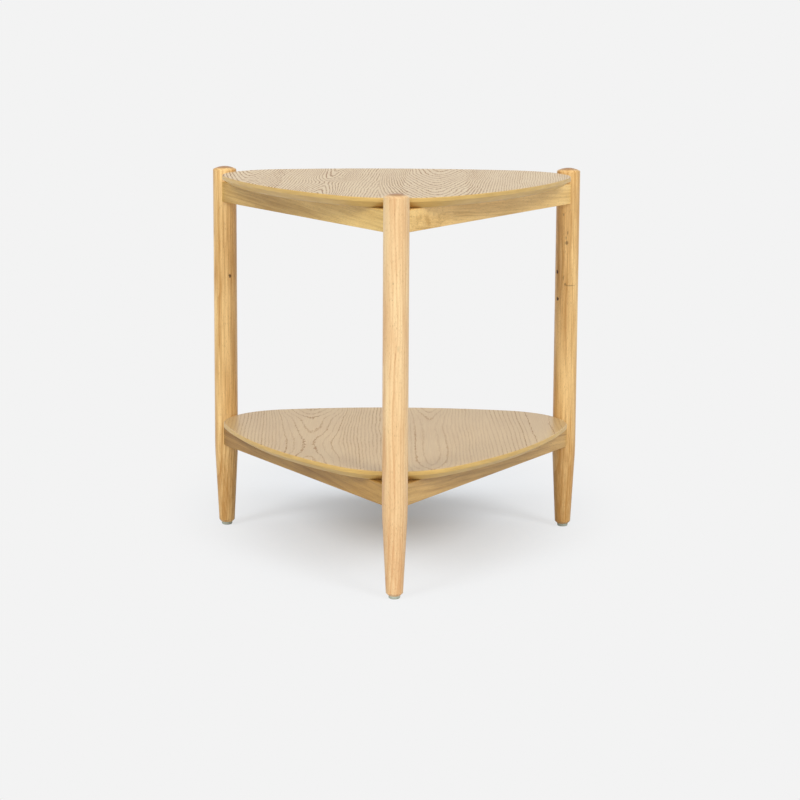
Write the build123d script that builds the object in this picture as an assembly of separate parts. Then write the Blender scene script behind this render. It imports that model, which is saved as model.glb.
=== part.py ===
from build123d import *
import math
import os

# A three-legged side table with two tiers of rounded triangular boards.
# The floor is the plane Z = 0, the front leg points along -Y, and the middle of the table's box
# stands over the origin.

# Overall sizes, in millimetres. The legs stand proud of the top board by leg_top_stand.
table_height = 550.0
leg_spacing = 516.0
leg_top_stand = 7.5
shelf_surface_height = 172.0

# Legs
leg_diameter = 35.0
leg_dome_rise = 4.5
leg_shoulder_round = 2.5
leg_taper_start = 120.0
leg_taper_blend = 500.0
leg_foot_diameter = 23.5
leg_foot_chamfer = 3.5

# Rails, coped round the legs and mitred to each other behind them
rail_thickness = 22.0
rail_height = 30.0
rail_arris_round = 1.0
cope_gap = 0.2

# Boards: a veneered core with a square lip above a wide bevel under the edge
board_thickness = 15.0
veneer_thickness = 0.6
board_corner_radius = 109.0
board_side_radius = 690.0
board_leg_gap = 0.3
board_rim_round = 2.0
board_lip_height = 5.9
board_bevel_width = 14.4
board_arris_round = 0.5

# Corner blocks
block_nose_distance = 28.0
block_back_distance = 72.0
block_height = 26.0
block_corner_cut = 4.0

# Leg bolts with their washers, and the threaded inserts in the legs
bolt_diameter = 6.0
bolt_head_diameter = 10.5
bolt_head_height = 3.3
bolt_head_round = 1.8
bolt_tip_chamfer = 0.8
bolt_hole_diameter = 7.0
bolt_drop = 14.0
hex_key_width = 4.0
hex_key_depth = 2.0
thread_fit = 0.05
thread_engagement = 11.3
washer_outer_diameter = 12.0
washer_thickness = 1.6
washer_fit = 0.2
spring_washer_outer_diameter = 10.5
spring_washer_thickness = 1.6
spring_washer_slit = 1.0
insert_diameter = 10.0
insert_length = 13.0
insert_recess = 1.0
insert_groove_depth = 0.7
insert_groove_width = 1.3
insert_groove_pitch = 2.6
insert_first_groove = 2.6
insert_key_width = 8.0
insert_key_depth = 2.0
insert_fit = 0.1

# Wood screws
screw_diameter = 4.0
screw_head_diameter = 8.0
screw_head_height = 2.4
screw_head_round = 1.6
screw_tip_length = 4.0
screw_pocket_diameter = 9.0
screw_fit = 0.1
recess_arm_width = 1.0
recess_arm_length = 4.4
recess_depth = 1.4
pilot_spare = 0.5
board_screw_length = 25.0
board_screw_bite = 10.0
board_screw_distance = 55.0
board_screw_offset = 10.0
block_screw_length = 25.0
block_screw_offset = 17.0
block_screw_pocket = 5.0

# Foot glides and their nails
glide_diameter = 16.0
glide_height = 4.5
glide_edge_round = 1.2
nail_diameter = 2.2
nail_head_diameter = 6.0
nail_head_height = 1.0
nail_head_recess = 1.8
nail_length = 18.0
nail_tip_length = 3.0
nail_fit = 0.1

# One overrun for all cuts, past the face that they start from
overrun = 2.0

# Angles in degrees. About the vertical axis, corners and sides take turns, corner_to_side apart.
front_angle = -90
corner_to_side = 60
block_screw_slant = 30
corner_angles = {
    "front": front_angle,
    "right": front_angle + 2 * corner_to_side,
    "left": front_angle + 4 * corner_to_side,
}
side_angles = {
    "right": front_angle + corner_to_side,
    "back": front_angle + 3 * corner_to_side,
    "left": front_angle + 5 * corner_to_side,
}

# Sizes that follow from the ones above
leg_radius = leg_diameter / 2
top_surface_height = table_height - leg_top_stand
leg_circle_radius = leg_spacing / 2 / math.sin(math.radians(corner_to_side))
rail_line_distance = leg_circle_radius * math.cos(math.radians(corner_to_side))
apex_distance = leg_circle_radius - leg_radius - board_leg_gap
corner_centre_distance = apex_distance - board_corner_radius
side_centre_distance = (
    math.sqrt(
        (board_side_radius - board_corner_radius) ** 2
        - (corner_centre_distance * math.sin(math.radians(corner_to_side))) ** 2
    )
    - corner_centre_distance * math.cos(math.radians(corner_to_side))
)
mid_side_distance = board_side_radius - side_centre_distance
origin_shift = (leg_circle_radius + leg_radius - mid_side_distance) / 2
bolt_radius = bolt_diameter / 2
washer_stack = washer_thickness + spring_washer_thickness
insert_mouth = leg_radius - insert_recess
bolt_length = block_back_distance + washer_stack - insert_mouth + thread_engagement

# Each tier by the height of its frame's upper face, on which its board lies
tiers = {
    "top": top_surface_height - board_thickness,
    "shelf": shelf_surface_height - board_thickness,
}


def corner_place(name):
    """Frame of a corner: its origin is on the leg's axis and +X points away from the table."""
    return Pos(0, origin_shift, 0) * Rot(0, 0, corner_angles[name]) * Pos(leg_circle_radius, 0, 0)


def side_place(name):
    """Frame of a side: its origin is the table's middle and +X points out through the rail."""
    return Pos(0, origin_shift, 0) * Rot(0, 0, side_angles[name])


def rod(radius, start, end):
    """Round bar between two points."""
    run = Vector(*end) - Vector(*start)
    return extrude(Plane(origin=start, z_dir=run) * Circle(radius), run.length)


def turned(points):
    """Solid turned about the Z axis from the corners of its half section, given as radius and height."""
    outline = Polyline(*[(radius, 0, height) for radius, height in points], close=True)
    return revolve(make_face(outline), Axis.Z)


def hex_socket(width, depth, top):
    """Six-sided key recess that opens upwards at the height top."""
    hexagon = RegularPolygon(width / 2, 6, major_radius=False)
    cut = extrude(hexagon, depth + overrun)
    return Pos(0, 0, top - depth) * cut


# Legs


def leg_profile():
    """Half section of a leg: glide seat, chamfer, taper, straight shank and domed top."""
    foot_radius = leg_foot_diameter / 2
    shoulder = table_height - leg_dome_rise
    dome_radius = (leg_radius**2 + leg_dome_rise**2) / (2 * leg_dome_rise)
    half_angle = math.asin(leg_radius / dome_radius) / 2
    dome_centre = table_height - dome_radius
    dome_mid = (dome_radius * math.sin(half_angle), dome_centre + dome_radius * math.cos(half_angle))
    shank = Polyline(
        (0, 0, table_height),
        (0, 0, glide_height),
        (foot_radius - leg_foot_chamfer, 0, glide_height),
        (foot_radius, 0, glide_height + leg_foot_chamfer),
        (leg_radius, 0, leg_taper_start),
        (leg_radius, 0, shoulder),
    )
    dome = ThreePointArc((leg_radius, 0, shoulder), (dome_mid[0], 0, dome_mid[1]), (0, 0, table_height))
    face = make_face(Curve() + [shank, dome])
    taper_corner = face.vertices().sort_by_distance((leg_radius, 0, leg_taper_start))[0]
    face = face.face().fillet_2d(leg_taper_blend, [taper_corner])
    shoulder_corner = face.vertices().sort_by_distance((leg_radius, 0, shoulder))[0]
    return face.fillet_2d(leg_shoulder_round, [shoulder_corner])


def leg():
    """A leg in its corner's frame, bored for the inserts and for the glide's nail."""
    body = revolve(leg_profile(), Axis.Z)
    bore_radius = insert_diameter / 2 + insert_fit
    bore_end = insert_mouth - insert_length - pilot_spare
    for frame_top in tiers.values():
        height = frame_top - bolt_drop
        body -= rod(bore_radius, (-leg_radius - overrun, 0, height), (-bore_end, 0, height))
    nail_reach = nail_head_recess + nail_length + pilot_spare
    body -= rod(nail_diameter / 2 + nail_fit, (0, 0, 0), (0, 0, nail_reach))
    return body


# Rails


def rail(tier, side):
    """A rail in the table's frame: straight bar, mitred, coped, and bored for bolts and screws."""
    frame_top = tiers[tier]
    bar = Box(rail_thickness, leg_spacing, rail_height)
    bar = fillet(bar.edges().filter_by(Axis.Y), rail_arris_round)
    bar = Pos(rail_line_distance, 0, frame_top - rail_height / 2) * bar
    reach = rail_line_distance + rail_thickness
    half_width = reach * math.tan(math.radians(corner_to_side))
    wedge = Polyline((0, 0), (reach, half_width), (reach, -half_width), close=True)
    wedge = extrude(make_face(wedge), frame_top + overrun)
    bar = side_place(side) * (bar & wedge)
    for corner in corner_angles:
        bar -= corner_place(corner) * rod(leg_radius + cope_gap, (0, 0, 0), (0, 0, table_height))
        bar -= corner_place(corner) * bolt_bore(frame_top)
        for hand in (1, -1):
            bar -= corner_place(corner) * block_screw_bore(frame_top, hand)
    return bar


# Corner blocks


def block_half_width(distance):
    """Half width of a block, a distance from the leg's axis, where it fills the space between the rails."""
    slope = math.tan(math.radians(90 - corner_to_side))
    inset = rail_thickness / 2 / math.sin(math.radians(corner_to_side))
    return distance * slope - inset


def bolt_bore(frame_top):
    """Clearance bore of a leg bolt, in its corner's frame."""
    height = frame_top - bolt_drop
    return rod(bolt_hole_diameter / 2, (0, 0, height), (-block_back_distance - overrun, 0, height))


def block_screw_place(frame_top, hand):
    """Frame of a block screw: its origin is the head's seat and +Z runs towards the tip."""
    slant = math.radians(block_screw_slant)
    direction = Vector(math.cos(slant), hand * math.sin(slant), 0)
    entry = Vector(-block_back_distance, hand * block_screw_offset, frame_top - bolt_drop)
    return Plane(origin=entry + direction * block_screw_pocket, z_dir=direction)


def block_screw_bore(frame_top, hand):
    """Bore for a block screw's shank, in its corner's frame."""
    bore = rod(screw_diameter / 2 + screw_fit, (0, 0, 0), (0, 0, block_screw_length + pilot_spare))
    return block_screw_place(frame_top, hand) * bore


def board_screw_place(frame_top, hand):
    """Frame of a board screw: its origin is the head's seat and +Z runs towards the tip."""
    seat = frame_top + board_screw_bite - board_screw_length
    return Pos(-board_screw_distance, hand * board_screw_offset, seat)


def board_screw_bore(frame_top, hand):
    """Bore for a board screw's shank, in its corner's frame."""
    bore = rod(screw_diameter / 2 + screw_fit, (0, 0, 0), (0, 0, board_screw_length + pilot_spare))
    return board_screw_place(frame_top, hand) * bore


def corner_block(frame_top):
    """A block in its corner's frame, flush with the frame's upper face."""
    nose = block_half_width(block_nose_distance)
    back = block_half_width(block_back_distance)
    trapezoid = Polyline(
        (-block_nose_distance, nose),
        (-block_back_distance, back),
        (-block_back_distance, -back),
        (-block_nose_distance, -nose),
        close=True,
    )
    body = Pos(0, 0, frame_top - block_height) * extrude(make_face(trapezoid), block_height)
    back_edges = body.edges().filter_by(Axis.Z).group_by(Axis.X)[0]
    body = chamfer(back_edges, block_corner_cut)
    body -= bolt_bore(frame_top)
    pocket_radius = screw_pocket_diameter / 2
    for hand in (1, -1):
        slanted_pocket = rod(pocket_radius, (0, 0, -block_screw_pocket * 2 - overrun), (0, 0, 0))
        body -= block_screw_place(frame_top, hand) * slanted_pocket
        body -= block_screw_bore(frame_top, hand)
        upright_pocket = rod(pocket_radius, (0, 0, -block_height), (0, 0, 0))
        body -= board_screw_place(frame_top, hand) * upright_pocket
        body -= board_screw_bore(frame_top, hand)
    return body


# Boards


def board_outline(inset):
    """Rounded triangle of six tangent arcs, set in from the board's widest outline, as a face."""
    corner_radius = board_corner_radius - inset
    side_radius = board_side_radius - inset
    corner_centre = Vector(corner_centre_distance, 0)
    side_centre = Vector(-side_centre_distance, 0).rotate(Axis.Z, corner_to_side)
    tangent_point = side_centre + (corner_centre - side_centre).normalized() * side_radius
    corner_points = (
        Vector(tangent_point.X, -tangent_point.Y),
        Vector(corner_centre_distance + corner_radius, 0),
        tangent_point,
    )
    mid_side = Vector(side_radius - side_centre_distance, 0).rotate(Axis.Z, corner_to_side)
    angles = list(corner_angles.values())
    corners = [[point.rotate(Axis.Z, angle) for point in corner_points] for angle in angles]
    arcs = []
    for index, angle in enumerate(angles):
        next_corner = corners[(index + 1) % len(corners)]
        side_points = (corners[index][-1], mid_side.rotate(Axis.Z, angle), next_corner[0])
        arcs += [ThreePointArc(*corners[index]), ThreePointArc(*side_points)]
    return make_face(arcs)


def board_blank(surface_height):
    """The whole laminated board: lip with a rounded rim, and a bevel drawn in under it."""
    lip_bottom = surface_height - board_lip_height
    underside = surface_height - board_thickness
    lip = Pos(0, 0, lip_bottom) * extrude(board_outline(0), board_lip_height)
    bevel_foot = Pos(0, 0, underside) * board_outline(board_bevel_width)
    bevel_head = Pos(0, 0, lip_bottom) * board_outline(0)
    blank = lip + loft([bevel_foot, bevel_head], ruled=True)
    rim = blank.edges().group_by(Axis.Z)[-1]
    blank = fillet(rim, board_rim_round)
    lip_edges = [edge for edge in blank.edges() if abs(edge.center().Z - lip_bottom) < board_arris_round / 2]
    blank = fillet(lip_edges, board_arris_round)
    return Pos(0, origin_shift, 0) * blank


def layer(blank, low, high):
    """The part of a blank between two heights."""
    width = 2 * board_side_radius
    slab = Box(width, width, high - low, align=(Align.CENTER, Align.CENTER, Align.MIN))
    return blank & (Pos(0, 0, low) * slab)


def board(tier):
    """Core, face veneer and backing veneer of a tier's board, with pilot holes from below."""
    underside = tiers[tier]
    surface = underside + board_thickness
    blank = board_blank(surface)
    for corner in corner_angles:
        for hand in (1, -1):
            blank -= corner_place(corner) * board_screw_bore(underside, hand)
    return {
        "board_core": layer(blank, underside + veneer_thickness, surface - veneer_thickness),
        "face_veneer": layer(blank, surface - veneer_thickness, surface),
        "backing_veneer": layer(blank, underside, underside + veneer_thickness),
    }


# Leg bolts, washers and inserts


def bolt():
    """Button-head bolt along +Z, with its head's seat at the origin."""
    head_radius = bolt_head_diameter / 2
    head = turned([(0, 0), (head_radius, 0), (head_radius, -bolt_head_height), (0, -bolt_head_height)])
    head = fillet(head.edges().group_by(Axis.Z)[0], bolt_head_round)
    shank = rod(bolt_radius, (0, 0, 0), (0, 0, bolt_length))
    shank = chamfer(shank.edges().group_by(Axis.Z)[-1], bolt_tip_chamfer)
    socket = Rot(180, 0, 0) * hex_socket(hex_key_width, hex_key_depth, bolt_head_height)
    return head + shank - socket


def flat_washer():
    """Washer that lies on the block's back face, seated at the origin and reaching along -Z."""
    inner = bolt_radius + washer_fit
    outer = washer_outer_diameter / 2
    return turned([(inner, 0), (outer, 0), (outer, -washer_thickness), (inner, -washer_thickness)])


def spring_washer():
    """Split washer between the flat washer and the bolt's head."""
    inner = bolt_radius + washer_fit
    outer = spring_washer_outer_diameter / 2
    low = -washer_thickness
    high = low - spring_washer_thickness
    ring = turned([(inner, low), (outer, low), (outer, high), (inner, high)])
    slit_length = outer + overrun
    slit = Box(slit_length, spring_washer_slit, spring_washer_thickness + 2 * overrun)
    return ring - Pos(slit_length / 2, 0, (low + high) / 2) * slit


def insert():
    """Threaded insert along +Z, with its mouth at the origin and rings that bite into the leg."""
    radius = insert_diameter / 2
    root = radius - insert_groove_depth
    points = [(bolt_radius + thread_fit, 0), (radius, 0)]
    groove_count = int((insert_length - insert_first_groove) // insert_groove_pitch)
    for index in range(groove_count):
        start = insert_first_groove + index * insert_groove_pitch
        end = start + insert_groove_width
        points += [(radius, start), (root, start), (root, end), (radius, end)]
    points += [(radius, insert_length), (bolt_radius + thread_fit, insert_length)]
    return turned(points) - Rot(180, 0, 0) * hex_socket(insert_key_width, insert_key_depth, 0)


def bolt_place(frame_top, distance):
    """Frame on a leg bolt's axis, a distance from the leg's axis, with +Z towards the leg."""
    return Plane(origin=(-distance, 0, frame_top - bolt_drop), x_dir=(0, 0, 1), z_dir=(1, 0, 0))


# Wood screws


def screw(length):
    """Pan-head wood screw along +Z, with its head's seat at the origin."""
    head_radius = screw_head_diameter / 2
    radius = screw_diameter / 2
    head = turned([(0, 0), (head_radius, 0), (head_radius, -screw_head_height), (0, -screw_head_height)])
    head = fillet(head.edges().group_by(Axis.Z)[0], screw_head_round)
    shank = turned([(0, 0), (radius, 0), (radius, length - screw_tip_length), (0, length)])
    arm = Box(recess_arm_length, recess_arm_width, 2 * recess_depth)
    cross = arm + Rot(0, 0, 90) * arm
    return head + shank - Pos(0, 0, -screw_head_height) * cross


# Foot glides


def glide():
    """Round glide under a leg, in its corner's frame, with a recess for its nail's head."""
    disc = rod(glide_diameter / 2, (0, 0, 0), (0, 0, glide_height))
    disc = fillet(disc.edges().group_by(Axis.Z)[0], glide_edge_round)
    disc -= rod(nail_head_diameter / 2 + nail_fit, (0, 0, -overrun), (0, 0, nail_head_recess))
    return disc - rod(nail_diameter / 2 + nail_fit, (0, 0, 0), (0, 0, glide_height + overrun))


def nail():
    """Glide nail along +Z, with its head seated in the glide's recess."""
    seat = nail_head_recess
    radius = nail_diameter / 2
    head_radius = nail_head_diameter / 2
    tip = seat + nail_length
    return turned(
        [
            (0, seat - nail_head_height),
            (head_radius, seat - nail_head_height),
            (head_radius, seat),
            (radius, seat),
            (radius, tip - nail_tip_length),
            (0, tip),
        ]
    )


def at_corners(shape):
    """Copies of a shape in all three corners."""
    return [corner_place(corner) * shape for corner in corner_angles]


def save(name, solids):
    """Writes one node, a single solid or a group of separate ones."""
    shape = solids[0] if len(solids) == 1 else Compound(children=list(solids))
    export_step(shape, f"parts/{name}.step")


def main():
    os.makedirs("parts", exist_ok=True)
    for corner in corner_angles:
        save(f"leg_{corner}", [corner_place(corner) * leg()])
        save(f"foot_glide_{corner}", [corner_place(corner) * glide()])
    save("glide_nails", at_corners(nail()))
    for tier, frame_top in tiers.items():
        for side in side_angles:
            save(f"{tier}_rail_{side}", [rail(tier, side)])
        for corner in corner_angles:
            save(f"{tier}_corner_block_{corner}", [corner_place(corner) * corner_block(frame_top)])
        for name, piece in board(tier).items():
            save(f"{tier}_{name}", [piece])
        seat = bolt_place(frame_top, block_back_distance)
        head_seat = bolt_place(frame_top, block_back_distance + washer_stack)
        save(f"{tier}_leg_bolts", at_corners(head_seat * bolt()))
        save(f"{tier}_flat_washers", at_corners(seat * flat_washer()))
        save(f"{tier}_spring_washers", at_corners(seat * spring_washer()))
        save(f"{tier}_leg_inserts", at_corners(bolt_place(frame_top, insert_mouth) * insert()))
        board_screws = []
        block_screws = []
        for hand in (1, -1):
            board_screws += at_corners(board_screw_place(frame_top, hand) * screw(board_screw_length))
            block_screws += at_corners(block_screw_place(frame_top, hand) * screw(block_screw_length))
        save(f"{tier}_board_screws", board_screws)
        save(f"{tier}_block_screws", block_screws)


main()
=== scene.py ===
"""Looks of a three-legged side table with two veneered tiers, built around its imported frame.

Lengths inside the materials are millimetres; every mesh is in the frame's own metres.
"""

import logging
import math
from collections.abc import Callable, Sequence
from dataclasses import dataclass
from enum import Enum
from itertools import pairwise

import bmesh
import bpy
from mathutils import Matrix, Vector

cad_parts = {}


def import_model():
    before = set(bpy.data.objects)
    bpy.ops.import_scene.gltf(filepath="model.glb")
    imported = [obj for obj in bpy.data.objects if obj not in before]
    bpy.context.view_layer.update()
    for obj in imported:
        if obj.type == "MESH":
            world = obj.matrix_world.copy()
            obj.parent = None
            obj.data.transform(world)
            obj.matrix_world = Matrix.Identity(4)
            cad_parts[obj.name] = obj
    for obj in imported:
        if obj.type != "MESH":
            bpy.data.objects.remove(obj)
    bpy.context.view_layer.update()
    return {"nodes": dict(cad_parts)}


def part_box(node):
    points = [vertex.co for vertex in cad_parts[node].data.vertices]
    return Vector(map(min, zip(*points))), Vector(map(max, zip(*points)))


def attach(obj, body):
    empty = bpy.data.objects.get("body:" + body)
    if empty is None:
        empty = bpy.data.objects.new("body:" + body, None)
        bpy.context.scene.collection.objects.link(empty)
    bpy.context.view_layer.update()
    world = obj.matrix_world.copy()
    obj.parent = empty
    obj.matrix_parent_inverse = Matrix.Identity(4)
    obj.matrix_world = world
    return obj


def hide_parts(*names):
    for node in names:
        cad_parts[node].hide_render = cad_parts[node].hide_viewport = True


log = logging.getLogger("side_table")

MM = 0.001
BODY = "root"

# Points nearer than the first are one point; the others are for cutting and for welding.
CLOSE = 0.02 * MM
CUT_CLOSE = CLOSE / 10
WELD_CLOSE = CLOSE / 20
# How far the cutter of a bore starts outside the piece.
BORE_LEAD = 1.0 * MM
# How upright the normal of a level face is at least, and the angle below which faces blend.
LEVEL = 0.999
SMOOTH_BELOW = math.radians(30)

Colour = tuple[float, float, float, float]


def srgb(red: float, green: float, blue: float) -> Colour:
    """Turns a colour as a screen shows it into the linear one that a shader takes.

    Args:
        red: The red share, from 0 to 255.
        green: The green share, from 0 to 255.
        blue: The blue share, from 0 to 255.

    Returns:
        The linear colour with full opacity.
    """
    full, knee, slope, offset, power = 255.0, 0.04045, 12.92, 0.055, 2.4
    linear = []
    for share in (red / full, green / full, blue / full):
        low = share / slope
        high = ((share + offset) / (1 + offset)) ** power
        linear.append(low if share <= knee else high)
    return (linear[0], linear[1], linear[2], 1.0)


def heading(degrees: float) -> Vector:
    """Gives the level unit vector at that angle from +X."""
    return Vector((math.cos(math.radians(degrees)), math.sin(math.radians(degrees)), 0.0))


class Bearing(Enum):
    """A direction from the triangle's centre, in degrees from +X."""

    @property
    def label(self) -> str:
        """The direction's name as the frame's nodes have it."""
        return self.name.lower()


class Corner(Bearing):
    """The three corners, anticlockwise."""

    FRONT = -90
    RIGHT = 30
    LEFT = 150

    def point(self, distance: float, centre: Vector) -> Vector:
        """Gives the point at that distance from the triangle's centre, towards the corner."""
        return centre + distance * heading(self.value)


class Side(Bearing):
    """The three sides, anticlockwise, each one after the corner of the same rank."""

    RIGHT = -30
    BACK = 90
    LEFT = 210


class Tier(Enum):
    """The two boards with the frame that carries each."""

    TOP = "top"
    SHELF = "shelf"


class Value:
    """A number that changes over a surface: one output of a shader node."""

    def __init__(self, graph: "Graph", socket: bpy.types.NodeSocket) -> None:
        """Keeps the output and the graph that it belongs to."""
        self.graph = graph
        self.socket = socket

    def __add__(self, other: "Value | float") -> "Value":
        """Adds."""
        return self.graph.math("ADD", self, other)

    __radd__ = __add__

    def __sub__(self, other: "Value | float") -> "Value":
        """Takes away."""
        return self.graph.math("SUBTRACT", self, other)

    def __rsub__(self, other: float) -> "Value":
        """Takes away from a plain number."""
        return self.graph.math("SUBTRACT", other, self)

    def __mul__(self, other: "Value | float") -> "Value":
        """Multiplies."""
        return self.graph.math("MULTIPLY", self, other)

    def __truediv__(self, other: float) -> "Value":
        """Divides."""
        return self.graph.math("DIVIDE", self, other)

    def size(self) -> "Value":
        """Drops the sign."""
        return self.graph.math("ABSOLUTE", self)

    def whole(self) -> "Value":
        """Rounds down to a whole number."""
        return self.graph.math("FLOOR", self)

    def rest(self) -> "Value":
        """Keeps what lies past the whole number."""
        return self.graph.math("FRACT", self)

    def most(self, other: float) -> "Value":
        """Takes the greater of the two."""
        return self.graph.math("MAXIMUM", self, other)

    def hypot(self, other: "Value | float") -> "Value":
        """Gives the length of two steps at right angles."""
        return self.graph.math("SQRT", self * self + other * other)

    def rise(self, low: float, high: float) -> "Value":
        """Goes smoothly from 0 to 1, or falls from 1 to 0 where low is above high.

        Args:
            low: Where it is still 0.
            high: Where it reaches 1.

        Returns:
            The share from 0 to 1.
        """
        node = self.graph.add("ShaderNodeMapRange", interpolation_type="SMOOTHSTEP")
        self.graph.feed(node.inputs["Value"], self)
        node.inputs["From Min"].default_value = low
        node.inputs["From Max"].default_value = high
        return Value(self.graph, node.outputs["Result"])


@dataclass(frozen=True)
class Grain:
    """The make of one cloudy noise.

    Attributes:
        size: The size of one cloud along the three places that it is read at.
        seed: A shift that gives another draw of the same noise.
        detail: How many finer octaves it has.
    """

    size: tuple[float, float, float]
    seed: float = 0.0
    detail: float = 2.0


class Graph:
    """One material's node tree, with the place on the object in millimetres."""

    def __init__(self, name: str) -> None:
        """Starts a material with its shader and the object's own coordinates.

        Args:
            name: The material's name.
        """
        self.material = bpy.data.materials.new(name)
        self.material.use_nodes = True
        self.tree = self.material.node_tree
        self.shader = self.tree.nodes["Principled BSDF"]
        source = self.add("ShaderNodeTexCoord")
        scaled = self.add("ShaderNodeVectorMath", operation="SCALE")
        scaled.inputs["Scale"].default_value = 1 / MM
        parts = self.add("ShaderNodeSeparateXYZ")
        self.tree.links.new(source.outputs["Object"], scaled.inputs[0])
        self.tree.links.new(scaled.outputs["Vector"], parts.inputs[0])
        self.place = [Value(self, parts.outputs[axis]) for axis in "XYZ"]
        self.x, self.y, self.z = self.place

    def add(self, kind: str, **settings: object) -> bpy.types.Node:
        """Adds a node.

        Args:
            kind: The node's type.
            settings: Its options by name.

        Returns:
            The new node.
        """
        node = self.tree.nodes.new(kind)
        for name, setting in settings.items():
            setattr(node, name, setting)
        return node

    def feed(self, socket: bpy.types.NodeSocket, source: Value | float | Colour) -> None:
        """Links a changing value to a socket, or sets a plain one."""
        if isinstance(source, Value):
            self.tree.links.new(source.socket, socket)
        else:
            socket.default_value = source

    def math(self, operation: str, *inputs: Value | float) -> Value:
        """Adds a Math node.

        Args:
            operation: What it does.
            inputs: The one or two numbers that it does it to.

        Returns:
            What comes out.
        """
        node = self.add("ShaderNodeMath", operation=operation)
        for socket, source in zip(node.inputs, inputs):
            self.feed(socket, source)
        return Value(self, node.outputs[0])

    def noise(self, place: Sequence[Value], grain: Grain, seed: float = 0.0) -> Value:
        """Gives cloudy noise about nought, stretched to a grain.

        Args:
            place: The three places that it is read at.
            grain: The make of the noise.
            seed: A shift that is added to the grain's own.

        Returns:
            The noise, mostly from -0.3 to 0.3.
        """
        shift = grain.seed + seed
        joined = self.add("ShaderNodeCombineXYZ")
        # The middle place is shifted the other way.
        for socket, value, size, sign in zip(joined.inputs, place, grain.size, (1, -1, 1)):
            self.feed(socket, value / size + sign * shift)
        node = self.add("ShaderNodeTexNoise", noise_dimensions="3D")
        node.inputs["Scale"].default_value = 1.0
        node.inputs["Detail"].default_value = grain.detail
        self.tree.links.new(joined.outputs[0], node.inputs["Vector"])
        return Value(self, node.outputs["Fac"]) - 0.5

    def curve(self, along: Value, points: Sequence[tuple[float, float]]) -> Value:
        """Follows a smooth line through a few points.

        Args:
            along: The place that the line is read at.
            points: Pairs of place and height, in rising order of place.

        Returns:
            The line's height at that place.
        """
        places, heights = zip(*points)
        first, span = places[0], places[-1] - places[0]
        low, rise = min(heights), max(heights) - min(heights)
        node = self.add("ShaderNodeFloatCurve")
        line = node.mapping.curves[0]
        while len(line.points) < len(points):
            line.points.new(0.5, 0.5)
        for point, place, height in zip(line.points, places, heights):
            point.location = ((place - first) / span, (height - low) / rise)
        node.mapping.update()
        self.feed(node.inputs["Value"], (along - first) / span)
        return Value(self, node.outputs["Value"]) * rise + low

    def draw(self, number: Value, seed: float) -> Value:
        """Draws one random share for each whole number.

        Args:
            number: The whole number.
            seed: A shift that gives another draw.

        Returns:
            A share from 0 to 1.
        """
        node = self.add("ShaderNodeTexWhiteNoise", noise_dimensions="1D")
        self.feed(node.inputs["W"], number + seed)
        return Value(self, node.outputs["Value"])

    def blend(self, share: Value, low: Value | Colour, high: Value | Colour) -> Value:
        """Mixes two colours.

        Args:
            share: How much of the second shows, which is kept from 0 to 1.
            low: The first colour.
            high: The second colour.

        Returns:
            The mixed colour.
        """
        node = self.add("ShaderNodeMix", data_type="RGBA", clamp_factor=True)
        self.feed(node.inputs["Factor"], share)
        # The node's colour sockets share their names with its plain ones, so they go by rank.
        self.feed(node.inputs[6], low)
        self.feed(node.inputs[7], high)
        return Value(self, node.outputs[2])

    def relief(self, height: Value, strength: float) -> None:
        """Gives the surface a fine relief.

        Args:
            height: How high it lies, in millimetres.
            strength: How strongly it shows, up to 1.
        """
        node = self.add("ShaderNodeBump")
        node.inputs["Strength"].default_value = strength
        node.inputs["Distance"].default_value = MM
        self.feed(node.inputs["Height"], height)
        self.tree.links.new(node.outputs["Normal"], self.shader.inputs["Normal"])

    def finish(self, colour: Value | Colour, roughness: Value | float,
               **settings: float) -> bpy.types.Material:
        """Gives the shader its colour and gloss.

        Args:
            colour: The base colour.
            roughness: The roughness.
            settings: Plain numbers for other sockets, by the socket's name with underscores.

        Returns:
            The finished material.
        """
        self.feed(self.shader.inputs["Base Color"], colour)
        self.feed(self.shader.inputs["Roughness"], roughness)
        for name, number in settings.items():
            self.shader.inputs[name.replace("_", " ")].default_value = number
        return self.material


@dataclass(frozen=True)
class Leaf:
    """One crown-cut leaf of face veneer, in millimetres of the frame's plan.

    Attributes:
        first: The leaf's left seam.
        heart: Where the leaf's heart line crosses Y = 0.
        near_pitch: The width of a ring beside the heart.
        far_pitch: The width of a ring in the straight-grained flanks.
        reach: How far from the heart the rings turn narrow.
        crest: How blunt the peaks of the figure are.
        calm: How much of the climb is lost in the flanks.
        faint: How much fainter the lines are in the flanks, or bolder if it is negative.
        crown: How many rings the figure has climbed at some places along Y, as pairs.
        lean: How far the heart line moves in X for each millimetre of Y.
        bow: How much it bows, in millimetres for each square millimetre of Y.
    """

    first: float
    heart: float
    near_pitch: float
    far_pitch: float
    reach: float
    crest: float
    calm: float
    faint: float
    crown: tuple[tuple[float, float], ...]
    lean: float = 0.0
    bow: float = 0.0


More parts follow.
